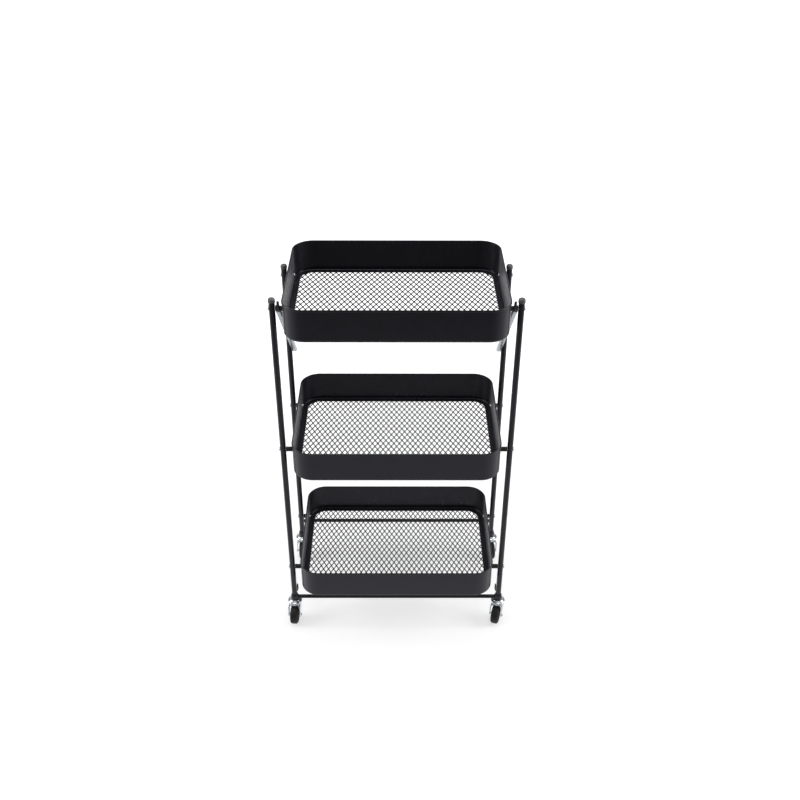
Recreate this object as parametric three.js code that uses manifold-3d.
// Folding wire shelf cart: mesh-floored trays pinned between a front and a rear leg frame,
// on swivel casters.
// Millimetres, +Z up, +Y to the back, +X to the right, origin on the floor midway between
// the four legs.
import * as THREE from "three";
import Module from "manifold-3d";
import { mergeVertices } from "three/addons/utils/BufferGeometryUtils.js";

// ---- dimensions shared between the parts ----
const SIDES = { left: -1, right: 1 }; // sign of X on each side
const GAP = 0.3; // clearance between neighbouring parts
const LEG_X = 215; // leg axes, each side of the middle
const LEG_Y = 99.5; // front leg axes at -LEG_Y, rear at +LEG_Y
const TUBE_R = 5.5; // leg tube, outside
const BORE_R = 4.5; // leg tube, inside
const LEG_FOOT_Z = 58.5; // lower end of every leg tube
const FRONT_TOP_Z = 760; // upper end of the front leg tubes
const REAR_TOP_Z = 727; // upper end of the rear leg tubes
const TUBE_FIT = 0.35; // radial room round a tube in a socket or clip
const SOCKET_Z = 53.5; // underside of the leg sockets
const BAR_R = 4; // both crossbars

const RIMS = { bottom: 163.4, middle: 465.2, top: 767 }; // upper edge of each tray
const LEVELS = Object.keys(RIMS);
const TRAY_HX = 197; // outside of the tray wall, half width
const TRAY_HY = 139.7; // outside of the tray wall, half depth
const SHEET = 1.2; // tray sheet thickness
const FLANGE_IN = 12.2; // how far the floor flange reaches in from the wall's outside
const TRAY_H = 62.5; // rim to underside of the floor flange

const FRONT_PIVOT = 18; // front pivots, below the rim
const REAR_PIVOT = 53; // rear pivots, below the rim
const HOLE_R = 2.85; // pivot holes

const STAY_LEN = 282.8; // pivot to stud
const STAY_ANGLE = THREE.MathUtils.degToRad(45.3); // below level when hooked up
const STAY_Z = RIMS.top - FRONT_PIVOT; // the stays hang on the upper front pivots
const STAY_INNER = 201.6; // inner face at the pivot end, from the middle of the cart

const WHEEL_R = 20;

// ---- finishes: every mesh gets its own material ----
const FINISHES = {
  powder: { color: 0x222226, roughness: 0.48, metalness: 0.15 },
  mesh: { color: 0x242428, roughness: 0.58, metalness: 0.15 },
  cap: { color: 0x55555a, roughness: 0.6, metalness: 0 },
  plastic: { color: 0x141415, roughness: 0.55, metalness: 0 },
  zinc: { color: 0xc9cbd0, roughness: 0.28, metalness: 1 },
  wheel: { color: 0x1f1b1b, roughness: 0.7, metalness: 0 },
};
function piece(name, geometry, finish, z = 0) {
  const mesh = new THREE.Mesh(geometry, new THREE.MeshStandardMaterial(FINISHES[finish]));
  mesh.name = name;
  mesh.position.z = z;
  return mesh;
}
function group(x, y, z, ...children) {
  const parent = new THREE.Group();
  parent.position.set(x, y, z);
  children.forEach((child) => parent.add(child));
  return parent;
}

// ---- joining and cutting ----
const wasm = await Module();
wasm.setup();

function solid(geometry) {
  const bare = geometry.clone();
  bare.deleteAttribute("normal");
  bare.deleteAttribute("uv");
  const merged = mergeVertices(bare, 1e-4);
  return new wasm.Manifold(
    new wasm.Mesh({
      numProp: 3,
      vertProperties: merged.attributes.position.array,
      triVerts: new Uint32Array(merged.index.array),
    }),
  );
}
const union = (solids) => solids.reduce((whole, part) => whole.add(part));
const cut = (from, ...geometries) =>
  geometries
    .flat()
    .map(solid)
    .reduce((rest, tool) => rest.subtract(tool), from);
function geometryOf(made) {
  const { vertProperties, triVerts, numProp } = made.getMesh();
  const count = vertProperties.length / numProp;
  const position = new Float32Array(count * 3);
  for (let i = 0; i < count; i++) {
    position.set(vertProperties.subarray(i * numProp, i * numProp + 3), i * 3);
  }
  const geometry = new THREE.BufferGeometry();
  geometry.setAttribute("position", new THREE.BufferAttribute(position, 3));
  geometry.setIndex(new THREE.BufferAttribute(new Uint32Array(triVerts), 1));
  geometry.computeVertexNormals();
  return geometry;
}

// ---- plain shapes ----
const BAR_Z_SIDES = 10;
const barZ = (radius, z0, z1) =>
  new THREE.CylinderGeometry(radius, radius, z1 - z0, BAR_Z_SIDES)
    .rotateX(Math.PI / 2)
    .rotateZ(Math.PI / BAR_Z_SIDES)
    .translate(0, 0, (z0 + z1) / 2);
const BAR_X_SIDES = 8;
const barX = (radius, x0, x1, y = 0, z = 0) =>
  new THREE.CylinderGeometry(radius, radius, x1 - x0, BAR_X_SIDES)
    .rotateY(Math.PI / BAR_X_SIDES)
    .rotateZ(Math.PI / 2)
    .translate((x0 + x1) / 2, y, z);
// profile of [radius, height] pairs turned about Z, with the outside on the right going up
const turned = (profile, sides) =>
  new THREE.LatheGeometry(
    profile.map(([radius, z]) => new THREE.Vector2(radius, z)),
    sides,
  ).rotateX(Math.PI / 2);
const outline = (points) => new THREE.Shape(points.map(([x, y]) => new THREE.Vector2(x, y)));
const disc = (radius) => new THREE.Shape().absarc(0, 0, radius, 0, Math.PI * 2, false);
const roundHole = (radius) => new THREE.Path().absarc(0, 0, radius, 0, Math.PI * 2, true);
const pushed = (shape, z0, z1, curveSegments = 3) =>
  new THREE.ExtrudeGeometry(shape, {
    depth: z1 - z0,
    bevelEnabled: false,
    curveSegments,
  }).translate(0, 0, z0);
// a [y, z] shape pushed along X
const pushedX = (shape, x0, x1, curveSegments) =>
  pushed(shape, x0, x1, curveSegments).applyMatrix4(
    new THREE.Matrix4().makeBasis(
      new THREE.Vector3(0, 1, 0),
      new THREE.Vector3(0, 0, 1),
      new THREE.Vector3(1, 0, 0),
    ),
  );
// two distances from the middle of the cart as X places on one side, smaller X first
const spanX = (sign, inner, outer) => [sign * inner, sign * outer].sort((a, b) => a - b);

const front = group(0, -LEG_Y, 0);
const rear = group(0, LEG_Y, 0);
const root = group(0, 0, 0, front, rear);
root.name = "wire_shelf_cart";

// ---- legs ----
const CAP_R = 6.3;
const CAP_H = 9;
const CAP_SPIGOT = 7; // how far a cap reaches down into its tube
const SPIGOT_R = BORE_R - 0.5;
const SOCKET_R = 8;
const SOCKET_H = 13.5;
const STEM_HOLE_R = 3.3;
const LEG_DRILL = 9; // half length of the cutters for the pivot holes
const CLIP_Z = 68; // underside of the fold clips
const CLIP_H = 10;
const FRONT_BAR_Z = 59;
const FRONT_BAR_END = 6.8; // bar end, in from the leg axis

function legTube(top, pivotDrop) {
  const ring = disc(TUBE_R);
  ring.holes.push(roundHole(BORE_R));
  return cut(
    solid(pushed(ring, LEG_FOOT_Z, top, 5)),
    LEVELS.map((level) => barX(HOLE_R, -LEG_DRILL, LEG_DRILL, 0, RIMS[level] - pivotDrop)),
  );
}

// a domed plug for the upper end of a tube, which is at zero
const cap = () =>
  turned(
    [
      [0, -CAP_SPIGOT],
      [SPIGOT_R, -CAP_SPIGOT],
      [SPIGOT_R, GAP],
      [CAP_R, GAP],
      [CAP_R, CAP_H - 4.2],
      [CAP_R * 0.86, CAP_H - 1.8],
      [CAP_R * 0.5, CAP_H - 0.3],
      [0, CAP_H],
    ],
    10,
  );

// a socket: the leg tube stands in the top, the caster's stem comes up through the floor
function socket() {
  const boreR = TUBE_R + TUBE_FIT;
  const floorTop = LEG_FOOT_Z - SOCKET_Z - GAP;
  return turned(
    [
      [STEM_HOLE_R, 0],
      [6.4, 0],
      [7.6, 1.5],
      [SOCKET_R, 5.5],
      [7.5, 10.3],
      [6.6, SOCKET_H],
      [boreR, SOCKET_H],
      [boreR, floorTop],
      [STEM_HOLE_R, floorTop],
      [STEM_HOLE_R, 0],
    ],
    10,
  );
}

// right half of the clip's outside, [x, y] from the leg axis, from the lip's end forward
const CLIP_OUTSIDE = [
  [5.4, 18.8],
  [7.0, 15],
  [7.2, 12.4],
  [6.5, 8.6],
  [5.4, 4.9],
];
// right half of the seat for the other leg, [x, y], from its closed end back to the lip
const CLIP_SEAT = [
  [3.2, 8.9],
  [5.1, 11.6],
  [5.1, 14.6],
  [4.2, 18.2],
];
// a clip set against the back of a leg, with two lips open to the back
function clip() {
  const legArc = Array.from({ length: 9 }, (_, i) => {
    const angle = THREE.MathUtils.degToRad(45 + (90 * i) / 8);
    const radius = TUBE_R + TUBE_FIT;
    return [radius * Math.cos(angle), radius * Math.sin(angle)];
  });
  const mirrored = (points) => points.map(([x, y]) => [-x, y]).reverse();
  return pushed(
    outline([
      ...CLIP_OUTSIDE,
      ...legArc,
      ...mirrored(CLIP_OUTSIDE),
      ...mirrored(CLIP_SEAT),
      ...CLIP_SEAT,
    ]),
    0,
    CLIP_H,
  );
}

// both front sockets and the straight bar between them, drawn from the sockets' underside
function frontBase() {
  const barEnd = LEG_X - FRONT_BAR_END;
  const parts = [
    socket().translate(-LEG_X, 0, 0),
    socket().translate(LEG_X, 0, 0),
    barX(BAR_R, -barEnd, barEnd, 0, FRONT_BAR_Z - SOCKET_Z),
  ];
  return geometryOf(union(parts.map(solid)));
}

for (const [side, sign] of Object.entries(SIDES)) {
  const tube = geometryOf(legTube(FRONT_TOP_Z, FRONT_PIVOT));
  front.add(
    group(
      sign * LEG_X,
      0,
      0,
      piece(`front_leg_${side}`, tube, "powder"),
      piece(`front_cap_${side}`, cap(), "cap", FRONT_TOP_Z),
      piece(`fold_clip_${side}`, clip(), "plastic", CLIP_Z),
    ),
  );
}
front.add(group(0, 0, SOCKET_Z, piece("front_base_bar", frontBase(), "powder")));

// ---- rear frame: legs, the bent bar behind them and the studs for the stays, one weldment ----
const REAR_BAR_BACK = 17.5; // behind the rear leg axes
const REAR_BAR_Z = 82;
const REAR_BAR_BEND = 9; // length of the corner bend along each arm
const REAR_BAR_START = 4.9; // front end of the bar's arms, behind the leg axes
const BAR_OVERLAP = 0.5; // how far the straight bar runs into the bends
const STUD_R = 2;
const STUD_CHAMFER = 0.5;
const STUD_L = 9.2;
const STUD_TIP = 201.2; // inner end of the stud, from the middle of the cart
const STUD_Z = STAY_Z - STAY_LEN * Math.sin(STAY_ANGLE);

const stud = (sign) =>
  turned(
    [
      [0, 0],
      [STUD_R - STUD_CHAMFER, 0],
      [STUD_R, STUD_CHAMFER],
      [STUD_R, STUD_L],
      [0, STUD_L],
    ],
    8,
  )
    .rotateY((sign * Math.PI) / 2)
    .translate(sign * STUD_TIP, 0, STUD_Z);

// one end of the rear bar: straight back from the leg, then round towards the middle
function barArm(sign) {
  const at = (inFromLeg, y) => new THREE.Vector3(sign * (LEG_X - inFromLeg), y, REAR_BAR_Z);
  const bendStart = REAR_BAR_BACK - REAR_BAR_BEND;
  const path = new THREE.CurvePath();
  path.add(new THREE.LineCurve3(at(0, REAR_BAR_START), at(0, bendStart)));
  path.add(
    new THREE.QuadraticBezierCurve3(
      at(0, bendStart),
      at(0, REAR_BAR_BACK),
      at(REAR_BAR_BEND, REAR_BAR_BACK),
    ),
  );
  return new THREE.ExtrudeGeometry(disc(BAR_R), {
    steps: 5,
    curveSegments: 4,
    extrudePath: path,
  });
}

function rearFrame() {
  const signs = Object.values(SIDES);
  const legs = signs.map((sign) =>
    legTube(REAR_TOP_Z, REAR_PIVOT).translate([sign * LEG_X, 0, 0]),
  );
  const barEnd = LEG_X - REAR_BAR_BEND + BAR_OVERLAP;
  const bar = barX(BAR_R, -barEnd, barEnd, REAR_BAR_BACK, REAR_BAR_Z);
  const fittings = [...signs.map(stud), ...signs.map(barArm), bar];
  return geometryOf(union([...legs, ...fittings.map(solid)]));
}

rear.add(piece("rear_frame", rearFrame(), "powder"));
for (const [side, sign] of Object.entries(SIDES)) {
  rear.add(
    group(
      sign * LEG_X,
      0,
      0,
      piece(`rear_cap_${side}`, cap(), "cap", REAR_TOP_Z),
      piece(`rear_socket_${side}`, socket(), "powder", SOCKET_Z),
    ),
  );
}

// ---- trays, drawn with the rim at zero ----
const TRAY_R = 38; // plan corner radius of the wall
const EDGE_R = 3; // rounding between wall and flange
const WALL_TOP = -0.8; // the wall ends inside the rolled rim
const BEAD = 1; // how far the rolled rim stands out from the wall
const BEAD_IN = 1.4; // the rim's inner face, in from the wall's outside
const BEAD_H = 3.6;
const BEAD_BEVEL = { side: 0.7, end: 0.9 };
const TRAY_DRILL = [190, 203]; // ends of the pivot hole cutters, from the middle
const FLOOR_T = 1.8;
const FLOOR_IN = 2.6; // mesh floor's edge, in from the wall's outside
const FIELD_IN = FLANGE_IN + 0.8; // edge of the field of openings, likewise
const CELL_X = 53.5; // diamond openings of the mesh floor, side to side
const CELL_Y = 100; // and front to back
const STRAND = 6.5; // strand width of the mesh floor
const HALF_CELLS_X = 7; // outermost opening centres, in half cells from the middle
const HALF_CELLS_Y = 3;

// the tray's plan, moved in from the outside of the wall
function plan(inset, Kind = THREE.Shape) {
  const x = TRAY_HX - inset;
  const y = TRAY_HY - inset;
  const radius = TRAY_R - inset;
  const path = new Kind();
  path.moveTo(x, -y + radius);
  path.lineTo(x, y - radius);
  path.absarc(x - radius, y - radius, radius, 0, Math.PI / 2, false);
  path.lineTo(-x + radius, y);
  path.absarc(-x + radius, y - radius, radius, Math.PI / 2, Math.PI, false);
  path.lineTo(-x, -y + radius);
  path.absarc(-x + radius, -y + radius, radius, Math.PI, Math.PI * 1.5, false);
  path.lineTo(x - radius, -y);
  path.absarc(x - radius, -y + radius, radius, Math.PI * 1.5, Math.PI * 2, false);
  return path;
}
// a block of the tray's plan with rounded lower and upper edges
const basin = (inset, bottom, top, round) =>
  new THREE.ExtrudeGeometry(plan(inset + round), {
    depth: top - bottom - 2 * round,
    bevelEnabled: true,
    bevelThickness: round,
    bevelSize: round,
    bevelSegments: 2,
    curveSegments: 3,
  }).translate(0, 0, bottom + round);

function trayRim() {
  const ring = plan(-BEAD + BEAD_BEVEL.side);
  ring.holes.push(plan(BEAD_IN - BEAD_BEVEL.side, THREE.Path));
  return new THREE.ExtrudeGeometry(ring, {
    depth: BEAD_H - 2 * BEAD_BEVEL.end,
    bevelEnabled: true,
    bevelThickness: BEAD_BEVEL.end,
    bevelSize: BEAD_BEVEL.side,
    bevelSegments: 1,
    curveSegments: 3,
  }).translate(0, 0, -BEAD_H + BEAD_BEVEL.end);
}
function trayShell() {
  const pivotHoles = Object.values(SIDES).flatMap((sign) => {
    const span = spanX(sign, ...TRAY_DRILL);
    return [
      barX(HOLE_R, ...span, -LEG_Y, -FRONT_PIVOT),
      barX(HOLE_R, ...span, LEG_Y, -REAR_PIVOT),
    ];
  });
  // both basins run up past the wall's top, and a box trims off their upper edges
  const trimH = 30;
  const shell = cut(
    solid(basin(0, -TRAY_H, 12, EDGE_R)),
    basin(SHEET, -TRAY_H + SHEET, 14, EDGE_R - SHEET),
    new THREE.BoxGeometry(500, 400, trimH).translate(0, 0, WALL_TOP + trimH / 2),
    pushed(plan(FLANGE_IN), -TRAY_H - 2, -TRAY_H + 4),
    pivotHoles,
  );
  return geometryOf(shell.add(solid(trayRim())));
}

function meshFloor() {
  // half diagonals of an opening, once the strands have their width square to themselves
  const slant = Math.hypot(CELL_X, CELL_Y) / 2;
  const halfX = CELL_X / 2 - (STRAND / 2) * (slant / (CELL_Y / 2));
  const halfY = CELL_Y / 2 - (STRAND / 2) * (slant / (CELL_X / 2));
  const openings = [];
  for (let i = -HALF_CELLS_X; i <= HALF_CELLS_X; i++) {
    for (let j = -HALF_CELLS_Y; j <= HALF_CELLS_Y; j++) {
      // neighbouring rows are staggered by half a cell
      if ((i + j) % 2 === 0) continue;
      const x = (i * CELL_X) / 2;
      const y = (j * CELL_Y) / 2;
      const diamond = outline([
        [x + halfX, y],
        [x, y + halfY],
        [x - halfX, y],
        [x, y - halfY],
      ]);
      openings.push(solid(pushed(diamond, -0.5, FLOOR_T + 0.5)));
    }
  }
  const field = solid(pushed(plan(FIELD_IN), -1, FLOOR_T + 1, 2));
  const sheet = solid(pushed(plan(FLOOR_IN), 0, FLOOR_T, 2));
  return geometryOf(sheet.subtract(union(openings).intersect(field)));
}

for (const level of LEVELS) {
  const floorZ = -TRAY_H - GAP - FLOOR_T; // just under the flange
  root.add(
    group(
      0,
      0,
      RIMS[level],
      piece(`tray_${level}`, trayShell(), "powder"),
      piece(`mesh_floor_${level}`, meshFloor(), "mesh", floorZ),
    ),
  );
}

// ---- pivots: a spacer beside the tray, and a rivet through tray and leg ----
// drawn along Z, with heights measured outwards from the middle of the cart
const RIVET_R = 2.5;
const HEAD_R = 4.2;
const HEAD_FACE_R = HEAD_R * 0.6; // flat on the end of a head
const INNER_HEAD_T = 1.6;
const OUTER_HEAD_T = 1.9;
const SPACER_R = 4.8;
const RIVET_IN = TRAY_HX - SHEET - GAP - INNER_HEAD_T; // inner end of every rivet
const RIVET_OUT = LEG_X + TUBE_R + GAP; // underside of the outer head

const rivet = () =>
  turned(
    [
      [0, RIVET_IN],
      [HEAD_FACE_R, RIVET_IN],
      [HEAD_R, RIVET_IN + 0.9],
      [HEAD_R, RIVET_IN + INNER_HEAD_T],
      [RIVET_R, RIVET_IN + INNER_HEAD_T],
      [RIVET_R, RIVET_OUT],
      [HEAD_R, RIVET_OUT],
      [HEAD_R, RIVET_OUT + 0.8],
      [HEAD_FACE_R, RIVET_OUT + OUTER_HEAD_T],
      [0, RIVET_OUT + OUTER_HEAD_T],
    ],
    8,
  );
const spacer = (from, to) =>
  turned(
    [
      [HOLE_R, from],
      [SPACER_R, from],
      [SPACER_R, to],
      [HOLE_R, to],
      [HOLE_R, from],
    ],
    8,
  );

function addPivot(frame, end, level, side, drop) {
  // the upper front spacers reach only to the stay, the others to the leg
  const besideStay = end === "front" && level === "top";
  const outer = besideStay ? STAY_INNER : LEG_X - TUBE_R;
  const name = `${end}_${level}_${side}`;
  const pivot = group(
    0,
    0,
    RIMS[level] - drop,
    piece(`spacer_${name}`, spacer(TRAY_HX + GAP, outer - GAP), "plastic"),
    piece(`rivet_${name}`, rivet(), "zinc"),
  );
  pivot.rotation.y = (SIDES[side] * Math.PI) / 2;
  frame.add(pivot);
}
for (const level of LEVELS) {
  for (const side of Object.keys(SIDES)) {
    addPivot(front, "front", level, side, FRONT_PIVOT);
    addPivot(rear, "rear", level, side, REAR_PIVOT);
  }
}

// ---- stays: a channel hung on the upper front pivot, its notch open upwards over the stud ----
// drawn with the pivot at the origin, +Y along the stay and +Z square to it
const STAY_HALF = 4.5; // half the channel's depth
const STAY_SHEET = 1.2;
const STAY_OUTER = 208.8; // outer face, from the middle of the cart
const STAY_INNER_HOOK = 200.8; // inner face at the hook end
const STAY_EAR = 205.6; // outer face of the ear past the pivot
const STAY_BLANK = [195, 215]; // the profile is pushed between these, then trimmed
const INNER_TAPER = { from: 70, to: STAY_LEN - 60 }; // where the inner face shifts, along Y
const EAR_CUT = { x: 20, y: 30, z: 40 }; // block that thins the ear
const EAR_CUT_END = -6.2; // the block's end nearest the pivot

// side view of the stay, [y, z]
const STAY_PROFILE = [
  // an ear that runs up past the pivot
  [-17.5, 5.2],
  [-16.4, 3.4],
  [-9.5, -1.2],
  // underside
  [-4, -STAY_HALF],
  [STAY_LEN - 16, -STAY_HALF],
  // hook end
  [STAY_LEN + 2.6, -3.9],
  [STAY_LEN + 5.6, -2.4],
  [STAY_LEN + 6.6, 0.5],
  [STAY_LEN + 5.8, STAY_HALF - 1],
  [STAY_LEN + 4.6, STAY_HALF],
  // the notch: an upright back wall, and a front wall that leans the way the stud leaves
  [STAY_LEN + 2.7, STAY_HALF],
  [STAY_LEN + 2.5, 0],
  [STAY_LEN + 1.8, -1.8],
  [STAY_LEN, -2.5],
  [STAY_LEN - 1.2, -2.2],
  [STAY_LEN - 1.96, -1.5],
  [STAY_LEN - 6.15, STAY_HALF],
  // upper edge, back to the ear
  [-4, STAY_HALF],
  [-9, 6.2],
  [-15.6, 8],
  [-17, 7.2],
];

// the stay seen from above, its faces moved in by a wall thickness; the inner face runs
// in towards the middle of the cart at the hook end
const stayPlan = (sign, wall, y0, y1, z0, z1) =>
  pushed(
    outline([
      [sign * (STAY_OUTER - wall), y0],
      [sign * (STAY_OUTER - wall), y1],
      [sign * (STAY_INNER_HOOK + wall), y1],
      [sign * (STAY_INNER_HOOK + wall), INNER_TAPER.to],
      [sign * (STAY_INNER + wall), INNER_TAPER.from],
      [sign * (STAY_INNER + wall), y0],
    ]),
    z0,
    z1,
  );
function stay(sign) {
  const profile = outline(STAY_PROFILE);
  profile.holes.push(roundHole(HOLE_R + 0.1));
  const blank = solid(pushedX(profile, ...spanX(sign, ...STAY_BLANK), 4));
  const hollow = stayPlan(sign, STAY_SHEET, 9, STAY_LEN - 9, -STAY_HALF + STAY_SHEET, 9);
  const earCut = new THREE.BoxGeometry(EAR_CUT.x, EAR_CUT.y, EAR_CUT.z).translate(
    sign * (STAY_EAR + EAR_CUT.x / 2),
    EAR_CUT_END - EAR_CUT.y / 2,
    0,
  );
  const outside = solid(stayPlan(sign, 0, -24, STAY_LEN + 20, -12, 12));
  return geometryOf(cut(blank.intersect(outside), hollow, earCut));
}
for (const [side, sign] of Object.entries(SIDES)) {
  const arm = piece(`lock_stay_${side}`, stay(sign), "zinc", STAY_Z);
  arm.rotation.x = -STAY_ANGLE;
  front.add(arm);
}

// ---- casters, drawn under the leg axis with the wheel trailing straight forward ----
// direction each wheel trails at rest, degrees from straight forward, positive towards +X
const CASTERS = {
  front_left: -4,
  front_right: -17,
  rear_left: 2,
  rear_right: 4,
};
const WHEEL_HALF = 8; // half width of the wheel
const TRAIL = 14; // wheel axis, in front of the leg axis
const STEM_R = 2.95;
const CROWN_R = 13.6;
const CROWN_TOP = 44.5;
const FORK_HALF = 13; // half width outside the fork cheeks
const FORK_T = 1.7;
const BOSS_R = 5.6; // rounded lower end of a cheek
const STEM_CLEAR_R = 3.4; // hole in the crown
const AXLE_HOLE_R = 2.4; // in cheeks and wheel
const AXLE_R = 1.95;
const AXLE_HEAD_R = 3.4;
const AXLE_HALF = FORK_HALF + 1.9; // half length of the axle

// stem, upper raceway and king pin
const mount = () =>
  turned(
    [
      [0, 40.9],
      [5.2, 40.9],
      [5.2, 42.4],
      [STEM_R, 42.4],
      [STEM_R, 46.9],
      [13.4, 46.9],
      [14.8, 48.6],
      [14.2, 50.2],
      [10, 52.6],
      [8.6, 53.2],
      [STEM_R, 53.2],
      [STEM_R, 64],
      [0, 64],
    ],
    12,
  );

const lowerRace = () =>
  turned(
    [
      [4.4, 44.3],
      [13.0, 44.3],
      [12.4, 46.2],
      [4.4, 46.2],
      [4.4, 44.3],
    ],
    12,
  );
// side view of a fork cheek, [y, z], rounded about the axle
function cheekOutline() {
  const boss = Array.from({ length: 6 }, (_, i) => {
    const angle = THREE.MathUtils.degToRad(150 + i * 38);
    return [-TRAIL + BOSS_R * Math.cos(angle), WHEEL_R + BOSS_R * Math.sin(angle)];
  });
  return outline([
    [5, CROWN_TOP],
    [-14, CROWN_TOP],
    [-17.5, 41],
    ...boss,
    [-4, 30],
    [3.5, 41],
  ]);
}
function fork() {
  const bridge = new THREE.BoxGeometry(FORK_HALF * 2, 19, FORK_T);
  const parts = [
    pushed(disc(CROWN_R), CROWN_TOP - FORK_T, CROWN_TOP, 6),
    bridge.translate(0, -3.5, CROWN_TOP - FORK_T / 2),
    lowerRace(),
    pushedX(cheekOutline(), -FORK_HALF, -FORK_HALF + FORK_T),
    pushedX(cheekOutline(), FORK_HALF - FORK_T, FORK_HALF),
  ];
  return geometryOf(
    cut(
      union(parts.map(solid)),
      barZ(STEM_CLEAR_R, 40, 50),
      barX(AXLE_HOLE_R, -20, 20, -TRAIL, WHEEL_R),
    ),
  );
}

// [radius, height] profile symmetric about zero height, given by its lower half
const mirroredUp = (lower) => [...lower, ...lower.map(([radius, z]) => [radius, -z]).reverse()];
const axle = () =>
  turned(
    mirroredUp([
      [0, -AXLE_HALF],
      [2.2, -AXLE_HALF],
      [AXLE_HEAD_R, -AXLE_HALF + 0.7],
      [AXLE_HEAD_R, -FORK_HALF - GAP],
      [AXLE_R, -FORK_HALF - GAP],
    ]),
    8,
  );
function wheel() {
  const profile = mirroredUp([
    [AXLE_HOLE_R, -WHEEL_HALF],
    [6.5, -WHEEL_HALF],
    [7.2, -WHEEL_HALF + 2],
    [14.6, -WHEEL_HALF + 2],
    [15.8, -WHEEL_HALF],
    [18.8, -WHEEL_HALF + 1.4],
    [WHEEL_R, -WHEEL_HALF + 4],
  ]);
  return turned([...profile, profile[0]], 16);
}

for (const [name, degrees] of Object.entries(CASTERS)) {
  const [end, side] = name.split("_");
  const hub = group(
    0,
    -TRAIL,
    WHEEL_R,
    piece(`caster_${name}_axle`, axle(), "zinc"),
    piece(`caster_${name}_wheel`, wheel(), "wheel"),
  );
  hub.rotation.y = Math.PI / 2;
  const swivel = group(0, 0, 0, piece(`caster_${name}_fork`, fork(), "zinc"), hub);
  swivel.rotation.z = THREE.MathUtils.degToRad(degrees);
  const mounting = piece(`caster_${name}_mount`, mount(), "zinc");
  const frame = end === "front" ? front : rear;
  frame.add(group(SIDES[side] * LEG_X, 0, 0, mounting, swivel));
}

export default root;
